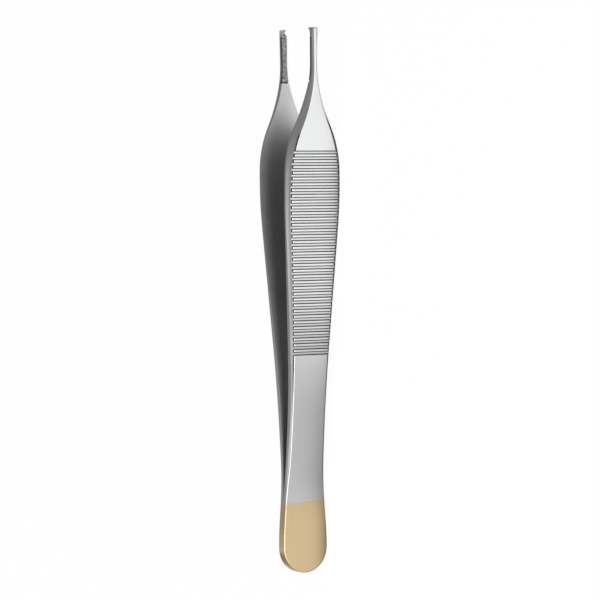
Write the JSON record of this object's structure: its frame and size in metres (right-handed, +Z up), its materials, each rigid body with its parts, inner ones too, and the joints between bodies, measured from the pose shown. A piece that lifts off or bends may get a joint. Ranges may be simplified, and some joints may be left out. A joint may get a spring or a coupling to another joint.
{
  "type": "thumb forceps",
  "caption": "Thumb forceps with two spring legs welded at the tail, a broad cross-grooved grip, slender toothed jaws and hatched inserts.",
  "frame": {"origin": "centre of the bounding box, on the surface that the forceps lies on", "axes": "+X from the tail to the tips, +Y from the front leg to the rear leg, +Z up; the forceps lies on the edges of its tail and shoulders"},
  "size_m": [0.12, 0.0146, 0.0139],
  "materials": {
    "steel": "satin",
    "carbide": "matte"
  },
  "bodies": {
    "root": {"front_leg": "steel", "rear_leg": "steel", "front_jaw_insert": "carbide", "rear_jaw_insert": "carbide"}
  },
  "joints": []
}
